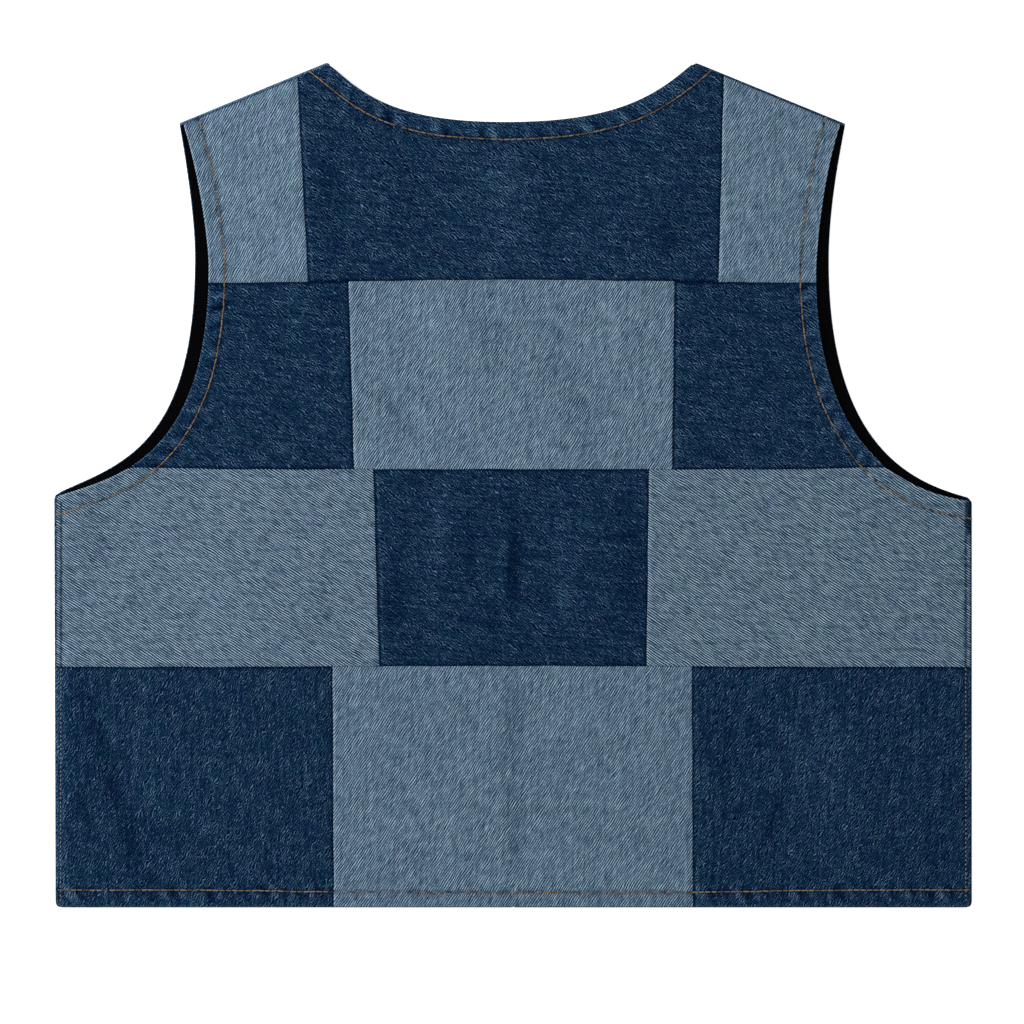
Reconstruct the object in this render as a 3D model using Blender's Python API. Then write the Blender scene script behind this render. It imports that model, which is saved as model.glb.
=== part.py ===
# Denim patchwork gilet, laid flat with its back up. Every cut piece is a thin closed wall of cloth.
# Plan sizes are in millimetres, x from the centre line and y up from the hem. Meshes are in metres.
import math
from collections import namedtuple

import bpy
import numpy as np
from mathutils import Vector
from mathutils.geometry import delaunay_2d_cdt

MM = 0.001

# The laid garment
HALF_WIDTH = 260.0
LENGTH = 479.0

# Cloth, and how the layers lie from the surface up
DENIM = 1.2
LINING = 1.0
GAP = 0.3
LINING_BASE = DENIM + GAP
BACK_BASE = LINING_BASE + LINING + GAP

# How far the fronts reach past the back, which leaves a thin rim round it
SIDE_REACH = 0.9
HEM_REACH = 0.6

# Section of an edge: each face draws in by EDGE_SOFT over the last EDGE_ROUND
EDGE_ROUND = 0.6
EDGE_SOFT = 0.35

# The turned band along hem, neck and armholes, ending in a step at its stitching
BAND = 9.7
BAND_STEP = 1.4
BAND_RISE = 0.5
HEM_TURN = 1.0  # layers turned in below the hem

# Along side and shoulder seams the back comes down to the front
SEAM_FALL = 3.5
FALL = BACK_BASE - LINING_BASE

# Inside the fronts' neckline nothing lies under the back, which sinks towards the surface
NECK_SAG = 2.1
SAG_RUN = 32.0

# How far the lining stays inside each edge of its front; it shows at the armhole only
LINING_INSET = {"hem": 12.0, "front": 12.0, "neck": 12.0, "shoulder": 5.4, "side": 5.0, "armhole": 0.6}
NO_INSET = dict.fromkeys(LINING_INSET, 0.0)

# Edge curves. A pull is the length of a curve's handle, and angles are in degrees.
BACK_SIDE = HALF_WIDTH - SIDE_REACH
Tip = namedtuple("Tip", "x y lean pull")
Deep = namedtuple("Deep", "x y pull_up pull_down")
Under = namedtuple("Under", "x y slope pull")
ARMHOLES = {
    "front_left": (
        Tip(-189.0, 444.5, 8.8, 12.9),
        Deep(-180.1, 368.3, 26.7, 110.0),
        Under(-HALF_WIDTH, 234.1, 25.5, 38.6),
    ),
    "front_right": (
        Tip(187.6, 444.4, 4.7, 5.0),
        Deep(178.7, 366.6, 35.6, 110.0),
        Under(HALF_WIDTH, 232.1, 14.6, 30.8),
    ),
    "back_left": (
        Tip(-187.2, 443.6, 17.7, 31.2),
        Deep(-172.9, 363.6, 12.3, 110.0),
        Under(-BACK_SIDE, 233.6, 17.7, 36.4),
    ),
    "back_right": (
        Tip(186.2, 443.6, 18.9, 32.2),
        Deep(172.2, 360.1, 10.2, 81.1),
        Under(BACK_SIDE, 231.3, 7.1, 54.7),
    ),
}
NeckEnd = namedtuple("NeckEnd", "x y slope pull low_pull")
BACK_NECK = {
    "left": NeckEnd(-104.6, 478.2, 38.0, 21.0, 69.0),
    "right": NeckEnd(101.8, 478.2, 41.5, 29.0, 62.0),
}
BACK_NECK_LOW = (-4.8, 445.1)
FRONT_NECK = {
    "left": NeckEnd(-104.6, 479.65, 72.0, 70.0, 46.0),
    "right": NeckEnd(102.6, 479.65, 72.0, 70.0, 46.0),
}
FRONT_NECK_LOW_Y = 330.0
FRONT_NECK_LOW_SLOPE = 35.0
CORNER_CUT = {"hem": 3.0, "side": 2.8, "shoulder": 2.4, "tip": 0.9}
CORNER_POINTS = 5
STEP_ALONG = 8.5
FEWEST_STEPS = 3

# Patchwork, a row of patches each, from the hem up. A seam leans from its low to its high place.
PatchRow = namedtuple("PatchRow", "name low high high_bow left_low left_high right_low right_high cloths")
PATCH_ROWS = (
    PatchRow("hem", 0.0, 136.5, 0.0, -101.4, -102.0, 102.2, 101.6, ("dark", "light", "dark")),
    PatchRow("waist", 136.5, 248.5, 0.0, -76.1, -79.3, 76.1, 77.5, ("light", "dark", "light")),
    PatchRow("chest", 248.5, 354.0, 1.7, -89.7, -92.9, 90.3, 91.7, ("dark", "light", "dark")),
    PatchRow("shoulder", 354.0, 471.0, 0.0, -116.7, -122.9, 117.0, 120.0, ("light", "dark", "light")),
)
COLUMNS = ("left", "centre", "right")
BOW_STEPS = 14

# How far cutting lines run past what they cut
OUTSIDE = 60.0
RUN_ON = 20.0
PAST_SEAM = 5.0
PLAN_TOLERANCE = 1e-5

# Soft ridges where the laid back has not been pressed quite flat
Ridge = namedtuple("Ridge", "x y lean half_length half_width rise")
RIDGES = (
    Ridge(2.0, 188.0, 2.0, 62.0, 26.0, 0.50),
    Ridge(6.0, 66.0, -3.0, 52.0, 24.0, 0.45),
    Ridge(-38.0, 302.0, 6.0, 56.0, 28.0, 0.40),
    Ridge(44.0, 300.0, -8.0, 48.0, 24.0, 0.35),
    Ridge(-172.0, 180.0, -14.0, 58.0, 26.0, 0.40),
    Ridge(176.0, 176.0, 12.0, 52.0, 28.0, 0.40),
    Ridge(-178.0, 70.0, 8.0, 46.0, 26.0, 0.35),
    Ridge(182.0, 74.0, -6.0, 50.0, 24.0, 0.40),
)
FORM_GRID = 20.0
CLEAR_OF_LINES = 5.0

Cloth = namedtuple("Cloth", "colour roughness")
CLOTHS = {
    "light": Cloth("#5e7486", 0.92),
    "dark": Cloth("#172f47", 0.90),
    "lining": Cloth("#0a0a0b", 0.80),
}
SMOOTH_BELOW = math.radians(40.0)


def clear_scene():
    for item in list(bpy.data.objects):
        bpy.data.objects.remove(item, do_unlink=True)


def linear(channel):
    return channel / 12.92 if channel <= 0.04045 else ((channel + 0.055) / 1.055) ** 2.4


def cloth_material(name):
    cloth = CLOTHS[name]
    rgb = [linear(int(cloth.colour[i:i + 2], 16) / 255) for i in (1, 3, 5)]
    material = bpy.data.materials.new(name + "_cloth")
    material.use_nodes = True
    shader = material.node_tree.nodes["Principled BSDF"]
    shader.inputs["Base Color"].default_value = (*rgb, 1.0)
    shader.inputs["Roughness"].default_value = cloth.roughness
    shader.inputs["Metallic"].default_value = 0.0
    return material


def heading(degrees):
    return np.array([math.cos(math.radians(degrees)), math.sin(math.radians(degrees))])


def cubic(start, pull_start, pull_end, end):
    """Points along a cubic curve, about STEP_ALONG apart."""
    start, pull_start, pull_end, end = (np.array(p, float) for p in (start, pull_start, pull_end, end))
    steps = max(FEWEST_STEPS, round(np.linalg.norm(end - start) / STEP_ALONG))
    t = np.linspace(0.0, 1.0, steps + 1)[:, None]
    s = 1 - t
    return start * s ** 3 + 3 * pull_start * t * s ** 2 + 3 * pull_end * t ** 2 * s + end * t ** 3


def armhole_line(name):
    """From the shoulder tip by the deepest place to the underarm."""
    tip, deep, under = ARMHOLES[name]
    inward = -math.copysign(1.0, tip.x)
    tip_at, deep_at, under_at = (np.array([place.x, place.y]) for place in (tip, deep, under))
    from_tip = tip_at + tip.pull * heading(tip.lean - 90.0) * (inward, 1.0)
    to_under = under_at + under.pull * heading(under.slope) * (inward, 1.0)
    upper = cubic(tip_at, from_tip, deep_at + (0.0, deep.pull_up), deep_at)
    lower = cubic(deep_at, deep_at - (0.0, deep.pull_down), to_under, under_at)
    return np.concatenate([upper, lower[1:]])


def back_neck_line():
    """From the right neck point by the lowest place to the left one."""
    low = np.array(BACK_NECK_LOW)
    halves = []
    for side, inward in (("right", -1.0), ("left", 1.0)):
        end = BACK_NECK[side]
        point = np.array([end.x, end.y])
        pull = point + end.pull * heading(-end.slope) * (inward, 1.0)
        halves.append(cubic(point, pull, low - (inward * end.low_pull, 0.0), low))
    return np.concatenate([halves[0], halves[1][::-1][1:]])


def front_neck_line(side):
    """From the neck point down to the centre front."""
    end = FRONT_NECK[side]
    inward = -math.copysign(1.0, end.x)
    point = np.array([end.x, end.y])
    low = np.array([-inward * GAP / 2, FRONT_NECK_LOW_Y])
    pull = point + end.pull * heading(-end.slope) * (inward, 1.0)
    low_pull = low + end.low_pull * heading(FRONT_NECK_LOW_SLOPE) * (-inward, 1.0)
    return cubic(point, pull, low_pull, low)


def back_runs():
    """Edges of the whole back, anticlockwise from the left end of the hem."""
    left, right = armhole_line("back_left"), armhole_line("back_right")
    neck = back_neck_line()
    hem = np.array([[-BACK_SIDE, HEM_REACH], [BACK_SIDE, HEM_REACH]])
    return [
        ("hem", hem),
        ("side", np.array([hem[1], right[-1]])),
        ("armhole", right[::-1]),
        ("shoulder", np.array([right[0], neck[0]])),
        ("neck", neck),
        ("shoulder", np.array([neck[-1], left[0]])),
        ("armhole", left),
        ("side", np.array([left[-1], hem[0]])),
    ]


def front_runs(side):
    """Edges of one front, anticlockwise. The right front's run is the left one's turned about."""
    sign = -1.0 if side == "left" else 1.0
    armhole, neck = armhole_line("front_" + side), front_neck_line(side)
    hem = np.array([[sign * HALF_WIDTH, 0.0], [sign * GAP / 2, 0.0]])
    runs = [
        ("hem", hem),
        ("front", np.array([hem[1], neck[-1]])),
        ("neck", neck[::-1]),
        ("shoulder", np.array([neck[0], armhole[0]])),
        ("armhole", armhole),
        ("side", np.array([armhole[-1], hem[0]])),
    ]
    return runs if side == "left" else [(kind, line[::-1]) for kind, line in runs[::-1]]


def corner_cut(kind, next_kind):
    pair = {kind, next_kind}
    if pair == {"hem", "side"}:
        return CORNER_CUT["hem"]
    if pair == {"side", "armhole"}:
        return CORNER_CUT["side"]
    if pair == {"shoulder", "neck"}:
        return CORNER_CUT["shoulder"]
    return CORNER_CUT["tip"]


def rounded_outline(runs):
    """Closed outline with each corner between two edges replaced by a short curve."""
    points = []
    for index, (kind, line) in enumerate(runs):
        next_kind, next_line = runs[(index + 1) % len(runs)]
        cut = corner_cut(kind, next_kind)
        corner = line[-1]
        before, after = line[-2] - corner, next_line[1] - corner
        start = corner + before / np.linalg.norm(before) * cut
        end = corner + after / np.linalg.norm(after) * cut
        t = np.linspace(0.0, 1.0, CORNER_POINTS)[:, None]
        points.append(line[1:-1])
        points.append(start * (1 - t) ** 2 + 2 * corner * t * (1 - t) + end * t * t)
    return np.concatenate(points)


def moved_in(line, distance, closed):
    """The line moved to its left, which is inside an anticlockwise outline."""
    before = np.roll(line, 1, axis=0) if closed else np.concatenate([line[:1], line[:-1]])
    after = np.roll(line, -1, axis=0) if closed else np.concatenate([line[1:], line[-1:]])
    way_in, way_out = line - before, after - line
    if not closed:
        way_in[0], way_out[-1] = way_out[0], way_in[-1]
    normals = []
    for way in (way_in, way_out):
        unit = way / np.linalg.norm(way, axis=1, keepdims=True)
        normals.append(np.stack([-unit[:, 1], unit[:, 0]], axis=1))
    half_way = normals[0] + normals[1]
    half_way /= np.linalg.norm(half_way, axis=1, keepdims=True)
    return line + half_way * (distance / (half_way * normals[0]).sum(axis=1, keepdims=True))


def run_on(line):
    """The line with both ends carried straight on, so that it crosses the edges it meets."""
    first, last = line[0] - line[1], line[-1] - line[-2]
    start = line[0] + first / np.linalg.norm(first) * RUN_ON
    end = line[-1] + last / np.linalg.norm(last) * RUN_ON
    return np.concatenate([[start], line, [end]])


def distance_to(points, line, closed=False):
    """Distance from each point to a line of straight pieces."""
    start = line
    end = np.roll(line, -1, axis=0)
    if not closed:
        start, end = line[:-1], line[1:]
    along = end - start
    offset = points[:, None] - start[None]
    share = np.clip((offset * along).sum(axis=2) / (along * along).sum(axis=1), 0.0, 1.0)
    return np.linalg.norm(offset - share[..., None] * along, axis=2).min(axis=1)


def inside(points, outline):
    """Whether each point lies inside a closed outline, by counting crossings to its right."""
    x, y = points[:, :1], points[:, 1:]
    ax, ay = outline[:, 0], outline[:, 1]
    bx, by = np.roll(ax, -1), np.roll(ay, -1)
    spans = (ay > y) != (by > y)
    rise = np.where(by == ay, 1.0, by - ay)
    return (spans & (x < ax + (y - ay) / rise * (bx - ax))).sum(axis=1) % 2 == 1


def smooth_step(t):
    t = np.clip(t, 0.0, 1.0)
    return t * t * (3 - 2 * t)


def near_runs(points, runs, kinds):
    return np.min([distance_to(points, line) for kind, line in runs if kind in kinds], axis=0)


def band_share(points, runs, kinds):
    """One on the turned band along these edges, falling to nothing past its stitching."""
    return 1 - smooth_step((near_runs(points, runs, kinds) - BAND) / BAND_STEP)


def ridge_rise(points):
    """Height of the soft ridges: a round hump across each, fading out towards both ends."""
    total = np.zeros(len(points))
    for ridge in RIDGES:
        offset = points - (ridge.x, ridge.y)
        way = heading(90.0 - ridge.lean)
        along = np.clip(np.abs(offset @ way) / ridge.half_length, 0.0, 1.0)
        across = np.clip(np.abs(offset @ (way[1], -way[0])) / ridge.half_width, 0.0, 1.0)
        total += ridge.rise * (1 - smooth_step(along)) * (1 - smooth_step(across))
    return total


def neck_sag(points):
    """How far the back sinks inside the fronts' neckline, growing with the way in from it."""
    left, right = front_neck_line("left"), front_neck_line("right")
    opening = np.concatenate([left, right[::-1]])
    sunk = NECK_SAG * smooth_step(np.minimum(distance_to(points, left), distance_to(points, right)) / SAG_RUN)
    return np.where(inside(points, opening), sunk, 0.0)


def seam_line(row):
    """Top seam of a row of patches, right to left, bowed up in the middle."""
    x = np.linspace(HALF_WIDTH + OUTSIDE, -HALF_WIDTH - OUTSIDE, BOW_STEPS + 1 if row.high_bow else 2)
    bow = row.high_bow * np.clip(1 - (x / HALF_WIDTH) ** 2, 0.0, 1.0)
    return np.stack([x, row.high + bow], axis=1)


def seam_x(low_x, high_x, row, y):
    return low_x + (high_x - low_x) * (y - row.low) / (row.high - row.low)


def patch_cell(row_index, column):
    """Outline of a patch's place in the back: half a gap inside its seams, and past the cloth elsewhere."""
    row = PATCH_ROWS[row_index]
    half = GAP / 2
    top_row, bottom_row = row_index == len(PATCH_ROWS) - 1, row_index == 0
    low_y = -OUTSIDE if bottom_row else row.low - PAST_SEAM
    high_y = LENGTH + OUTSIDE if top_row else row.high + PAST_SEAM
    left_low, left_high = -HALF_WIDTH - OUTSIDE, -HALF_WIDTH - OUTSIDE
    right_low, right_high = HALF_WIDTH + OUTSIDE, HALF_WIDTH + OUTSIDE
    if column != "left":
        seam = (row.left_low, row.left_high) if column == "centre" else (row.right_low, row.right_high)
        left_low, left_high = (seam_x(*seam, row, y) + half for y in (low_y, high_y))
    if column != "right":
        seam = (row.right_low, row.right_high) if column == "centre" else (row.left_low, row.left_high)
        right_low, right_high = (seam_x(*seam, row, y) - half for y in (low_y, high_y))
    sides = np.array([[left_low, low_y], [right_low, low_y], [right_high, high_y], [left_high, high_y]])
    lines = [sides[[1, 2]], sides[[3, 0]]]
    if not top_row:
        lines.append(seam_line(row) - (0.0, half))
    if not bottom_row:
        lines.append(seam_line(PATCH_ROWS[row_index - 1])[::-1] + (0.0, half))
    return lines


def left_of(points, line):
    """Whether each point lies to the left of an open line that runs past the cloth at both ends."""
    start, along = line[:-1], line[1:] - line[:-1]
    nearest = np.argmin(
        [distance_to(points, np.array([a, a + w])) for a, w in zip(start, along)], axis=0
    )
    offset = points - start[nearest]
    way = along[nearest]
    return way[:, 0] * offset[:, 1] - way[:, 1] * offset[:, 0] > 0


def flat_triangles(outline, lines, extra):
    """Constrained triangles over an outline, with every line kept as edges."""
    points, edges = [], []
    for line, closed in [(outline, True), *((line, False) for line in lines)]:
        first = len(points)
        points.extend(Vector(p) for p in line)
        edges.extend((first + i, first + i + 1) for i in range(len(line) - 1))
        if closed:
            edges.append((len(points) - 1, first))
    points.extend(Vector(p) for p in extra)
    made = delaunay_2d_cdt(points, edges, [], 0, PLAN_TOLERANCE)
    return np.array(made[0], float), np.array(made[2])


def wall_object(name, plan, triangles, top, under, material):
    """Closed wall between a top and an under face that share one plan."""
    used, index = np.unique(triangles, return_inverse=True)
    triangles = index.reshape(-1, 3)
    plan, top, under = plan[used], top[used], under[used]
    count = len(plan)
    shift = np.array([0.0, LENGTH / 2])
    upper = np.column_stack([plan - shift, top])
    lower = np.column_stack([plan - shift, under])
    sides = np.concatenate([triangles[:, [0, 1]], triangles[:, [1, 2]], triangles[:, [2, 0]]])
    paired = {(a, b) for a, b in sides.tolist()}
    rim = [(a, b) for a, b in paired if (b, a) not in paired]
    faces = triangles.tolist()
    faces += (triangles[:, ::-1] + count).tolist()
    faces += [(b, a, a + count, b + count) for a, b in sorted(rim)]
    mesh = bpy.data.meshes.new(name)
    mesh.from_pydata((np.concatenate([upper, lower]) * MM).tolist(), [], faces)
    mesh.shade_smooth()
    mesh.set_sharp_from_angle(angle=SMOOTH_BELOW)
    mesh.materials.append(material)
    made = bpy.data.objects.new(name, mesh)
    bpy.context.scene.collection.objects.link(made)
    return made


def cut_panel(name, runs, inset, base, thickness, material, cell=(), is_back=False):
    """One cut piece: the cloth inside its edges, less its insets and outside no line of its cell."""
    outline = rounded_outline(runs)
    lines = []
    for kind, line in runs:
        places = [inset[kind], inset[kind] + EDGE_ROUND] if inset[kind] else []
        if is_back and kind in ("side", "shoulder"):
            places += [SEAM_FALL / 2, SEAM_FALL]
        elif is_back:
            places += [BAND, BAND + BAND_STEP]
        lines += [run_on(moved_in(line, place, False)) for place in places]
    ring = moved_in(outline, EDGE_ROUND, True)
    lines.append(np.concatenate([ring, ring[:1]]))
    for line in cell:
        lines += [line, moved_in(line, EDGE_ROUND, False)]
    extra = np.zeros((0, 2))
    if is_back:
        x, y = np.meshgrid(
            np.arange(-HALF_WIDTH, HALF_WIDTH, FORM_GRID), np.arange(0.0, LENGTH, FORM_GRID)
        )
        extra = np.stack([x.ravel(), y.ravel()], axis=1)
        clear = np.min([distance_to(extra, line) for line in lines], axis=0) > CLEAR_OF_LINES
        extra = extra[clear & (ridge_rise(extra) + neck_sag(extra) > 0.0)]
    plan, triangles = flat_triangles(outline, lines, extra)
    middles = plan[triangles].mean(axis=1)
    keep = inside(middles, outline)
    for kind, line in runs:
        if inset[kind]:
            keep &= distance_to(middles, line) > inset[kind]
    for line in cell:
        keep &= left_of(middles, line)
    triangles = triangles[keep]
    edge = distance_to(plan, outline, closed=True)
    for kind, line in runs:
        if inset[kind]:
            edge = np.minimum(edge, np.abs(distance_to(plan, line) - inset[kind]))
    for line in cell:
        edge = np.minimum(edge, distance_to(plan, line))
    soft = EDGE_SOFT * (1 - np.clip(edge / EDGE_ROUND, 0.0, 1.0))
    under = np.full(len(plan), base)
    top = under + thickness
    if is_back:
        joined = near_runs(plan, runs, ("side", "shoulder"))
        lift = ridge_rise(plan) - FALL * (1 - smooth_step(joined / SEAM_FALL))
        sag = neck_sag(plan)
        under = np.maximum(under + lift - HEM_TURN * band_share(plan, runs, ("hem",)), LINING_BASE) - sag
        top = top + lift + BAND_RISE * band_share(plan, runs, ("hem", "neck", "armhole")) - sag
    under = under + soft
    top = top - soft
    return wall_object(name, plan, triangles, top, under, material)


def build_gilet():
    clear_scene()
    materials = {name: cloth_material(name) for name in CLOTHS}
    whole = bpy.data.objects.new("gilet", None)
    bpy.context.scene.collection.objects.link(whole)
    pieces = []
    for side in ("left", "right"):
        runs = front_runs(side)
        pieces.append(cut_panel("front_" + side, runs, NO_INSET, 0.0, DENIM, materials["dark"]))
        pieces.append(
            cut_panel("lining_front_" + side, runs, LINING_INSET, LINING_BASE, LINING, materials["lining"])
        )
    runs = back_runs()
    for row_index, row in enumerate(PATCH_ROWS):
        for column, cloth in zip(COLUMNS, row.cloths):
            pieces.append(
                cut_panel(
                    f"back_{row.name}_{column}", runs, NO_INSET, BACK_BASE, DENIM, materials[cloth],
                    cell=patch_cell(row_index, column), is_back=True,
                )
            )
    for piece in pieces:
        piece.parent = whole


build_gilet()
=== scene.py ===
import math

import bpy
import numpy as np
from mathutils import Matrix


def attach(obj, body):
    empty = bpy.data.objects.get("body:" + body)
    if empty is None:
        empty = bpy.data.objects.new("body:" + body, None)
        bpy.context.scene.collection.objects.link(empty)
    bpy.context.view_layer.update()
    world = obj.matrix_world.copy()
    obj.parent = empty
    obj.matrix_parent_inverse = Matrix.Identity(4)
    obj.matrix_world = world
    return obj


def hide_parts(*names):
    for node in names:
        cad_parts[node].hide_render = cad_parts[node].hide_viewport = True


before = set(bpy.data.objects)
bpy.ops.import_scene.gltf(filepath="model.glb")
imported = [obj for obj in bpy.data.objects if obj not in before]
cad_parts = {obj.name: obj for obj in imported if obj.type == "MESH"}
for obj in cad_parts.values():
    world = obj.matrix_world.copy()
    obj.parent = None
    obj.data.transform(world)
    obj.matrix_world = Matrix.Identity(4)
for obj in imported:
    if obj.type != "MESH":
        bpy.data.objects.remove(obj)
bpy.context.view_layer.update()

# Denim patchwork gilet, laid flat with its back up on its two fronts.
# Plan sizes are in millimetres: x from the centre line, y up from the hem, z up from the surface.
mm = 0.001
fullTurn = 2 * math.pi
norm = np.linalg.norm
tiny = 1e-9  # keeps a length from being nothing
farAway = 1e3  # past every edge
signs = {"Left": -1.0, "Right": 1.0}

layers = {
    "halfWidth": 260.0,
    "length": 479.0,
    "denim": 1.2,
    "front": 0.0,  # heights of the under faces
    "lining": 1.55,
    "liningThick": 0.7,
    "back": 2.8,
    "backLowest": 1.5,
    "thinnest": 0.08,  # cloth, between its two faces
    "edgeRound": 0.6,  # how far in from an edge its rounding starts
    "edgeDrop": 0.42,  # how far each face turns in at the edge
}

armholeKeys = ("tip", "tipLean", "tipPull", "deep", "pullUp", "pullDown", "under", "underSlope", "underPull")
armholes = {  # angles in degrees, and a pull is the length of a curve's handle
    "backLeft": ((-186.9, 443.9), 17.7, 31.2, (-172.5, 363.6), 12.3, 110.0, (-259.1, 232.9), 17.7, 36.4),
    "backRight": ((185.3, 444.0), 18.9, 32.2, (171.5, 360.1), 10.2, 81.1, (259.1, 230.35), 7.1, 54.7),
    "frontLeft": ((-189.3, 444.75), 8.8, 12.9, (-180.5, 368.3), 26.7, 110.0, (-260.3, 234.1), 25.5, 38.6),
    "frontRight": ((188.2, 444.35), 4.7, 5.0, (178.9, 366.6), 35.6, 110.0, (260.0, 231.85), 14.6, 30.8),
}
armholes = {name: dict(zip(armholeKeys, values)) for name, values in armholes.items()}

necks = {
    "backLeft": {"point": (-104.6, 477.9), "slope": 38.0, "pull": 21.0, "lowPull": 69.0},
    "backRight": {"point": (101.8, 478.5), "slope": 41.5, "pull": 29.0, "lowPull": 62.0},
    "backLow": (-4.8, 445.3),
    "frontLeft": {"point": (-104.6, 479.6), "slope": 72.0, "pull": 70.0, "lowPull": 46.0},
    "frontRight": {"point": (102.6, 479.35), "slope": 72.0, "pull": 70.0, "lowPull": 46.0},
    "frontLow": 330.0,
    "frontLowSlope": 35.0,
}
hemIn = {"Left": 0.45, "Right": 0.0}  # how far the sides lean in from the underarm down to the hem
backHemUp = 0.6  # the back's hem, up from the fronts' hem
corners = {"hem": 3.6, "underarm": 2.8, "neck": 2.6, "tip": 0.9}  # how far from a corner its curve starts
middleGap = 0.15  # from the centre line to the edge of each front


def smooth(t):  # eased step, level at 0 and at 1
    t = np.clip(t, 0.0, 1.0)
    return t * t * (3 - 2 * t)


def bell(away, half):  # 1 on a line, falling off beside it as a normal curve does
    return np.exp(-(away / half) ** 2)


def heading(degrees):  # step of length 1 in a direction
    return np.array([math.cos(math.radians(degrees)), math.sin(math.radians(degrees))])


# Cubic curve: its two ends and two handles, weighted by the powers of t and 1 - t.
def curve(start, pullStart, pullEnd, end, steps=80):
    t = np.linspace(0.0, 1.0, steps + 1)[:, None]
    s = 1 - t
    return start * s ** 3 + 3 * pullStart * t * s ** 2 + 3 * pullEnd * t ** 2 * s + end * t ** 3


# Armhole: one curve from the shoulder tip to the deepest place, and one on to the underarm.
def armholeLine(name):
    a = armholes[name]
    tip, deep, under = (np.array(a[key]) for key in ("tip", "deep", "under"))
    inward = np.array([-np.sign(tip[0]), 1.0])
    fromTip = tip + a["tipPull"] * heading(a["tipLean"] - 90) * inward
    toUnder = under + a["underPull"] * heading(a["underSlope"]) * inward
    upper = curve(tip, fromTip, deep + (0.0, a["pullUp"]), deep)
    lower = curve(deep, deep - (0.0, a["pullDown"]), toUnder, under)
    return np.concatenate([upper, lower[1:]])


# Half a neckline, from the neck point to its lowest place, level there on the back and sloped on a front.
def neckLine(name, low, lowSlope):
    n = necks[name]
    point = np.array(n["point"])
    inward = np.array([-np.sign(point[0]), 1.0])
    pull = point + n["pull"] * heading(-n["slope"]) * inward
    lowPull = low - n["lowPull"] * heading(-lowSlope) * inward
    return curve(point, pull, lowPull, low)


def lengths(line):  # length along a line up to each of its points
    return np.concatenate([[0.0], np.cumsum(norm(np.diff(line, axis=0), axis=1))])


def placesAt(line, s):  # places on a line at these lengths along it
    along = lengths(line)
    return np.stack([np.interp(s, along, line[:, i]) for i in (0, 1)], axis=-1)


def trimmed(line, startCut, endCut, step=2.0):  # a straight line stays one piece
    total = lengths(line)[-1]
    count = 2 if len(line) == 2 else round((total - startCut - endCut) / step) + 1
    return placesAt(line, np.linspace(startCut, total - endCut, count))


def runOn(line, startMore, endMore):  # both ends carried straight on
    first, last = line[0] - line[1], line[-1] - line[-2]
    start = line[0] + first / norm(first) * startMore
    end = line[-1] + last / norm(last) * endMore
    return np.concatenate([[start], line, [end]])


# The line moved to its left, each point along the normal there.
def movedLeft(line, distance):
    way = np.gradient(line, axis=0)
    way /= norm(way, axis=1, keepdims=True)
    return line + distance * np.stack([-way[:, 1], way[:, 0]], axis=1)


# Four sides of an outline whose edges run anticlockwise, each with a named corner at its end. A corner is a
# quadratic curve that starts and ends its cut away from it, and a side ends in the middle of one. The top
# and left sides are turned about, so that bottom and top run rightwards, and left and right run upwards.
def fourSides(outline, cornerNames, splitAt):
    edges = list(outline.values())
    cuts = [corners[name] for name in cornerNames]
    count = len(edges)
    t = np.linspace(0.0, 1.0, 9)[:, None]
    middle = len(t) // 2
    runs = [trimmed(edge, cuts[i - 1], cuts[i]) for i, edge in enumerate(edges)]
    turns = []
    for i in range(count):
        before, corner, after = runs[i][-1], edges[i][-1], runs[(i + 1) % count][0]
        turns.append(before * (1 - t) ** 2 + 2 * corner * t * (1 - t) + after * t * t)
    sides = []
    for first, last in zip(splitAt, splitAt[1:] + splitAt[:1]):
        parts = [turns[first][middle:]]
        i = (first + 1) % count
        while i != last:
            parts += [runs[i][1:-1], turns[i]]
            i = (i + 1) % count
        parts += [runs[last][1:-1], turns[last][:middle + 1]]
        sides.append(np.concatenate(parts))
    bottom, right, top, left = sides
    return {"bottom": bottom, "right": right, "top": top[::-1], "left": left[::-1]}


def straight(start, end):  # a line of two points
    return np.array([start, end], float)


def backEdges():  # edges of the back, anticlockwise from its hem
    left, right = armholeLine("backLeft"), armholeLine("backRight")
    low = np.array(necks["backLow"])
    neck = np.concatenate([neckLine("backRight", low, 0.0), neckLine("backLeft", low, 0.0)[::-1][1:]])
    hem = straight((left[-1][0] + hemIn["Left"], backHemUp), (right[-1][0] - hemIn["Right"], backHemUp))
    return {
        "hem": hem,
        "sideRight": straight(hem[1], right[-1]),
        "armholeRight": right[::-1],
        "shoulderRight": straight(right[0], neck[0]),
        "neck": neck,
        "shoulderLeft": straight(neck[-1], left[0]),
        "armholeLeft": left,
        "sideLeft": straight(left[-1], hem[0]),
    }


def frontEdges(side):  # edges of a front, anticlockwise; the right one's are drawn the other way about
    sign = signs[side]
    armhole = armholeLine("front" + side)
    low = np.array([sign * middleGap, necks["frontLow"]])
    neck = neckLine("front" + side, low, -necks["frontLowSlope"])
    hem = straight((sign * (layers["halfWidth"] - hemIn[side]), 0.0), (sign * middleGap, 0.0))
    edges = {
        "hem": hem,
        "front": straight(hem[1], low),
        "neck": neck[::-1],
        "shoulder": straight(neck[0], armhole[0]),
        "armhole": armhole,
        "side": straight(armhole[-1], hem[0]),
    }
    if side == "Right":
        edges = {name: edge[::-1] for name, edge in reversed(edges.items())}
    return edges


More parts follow.
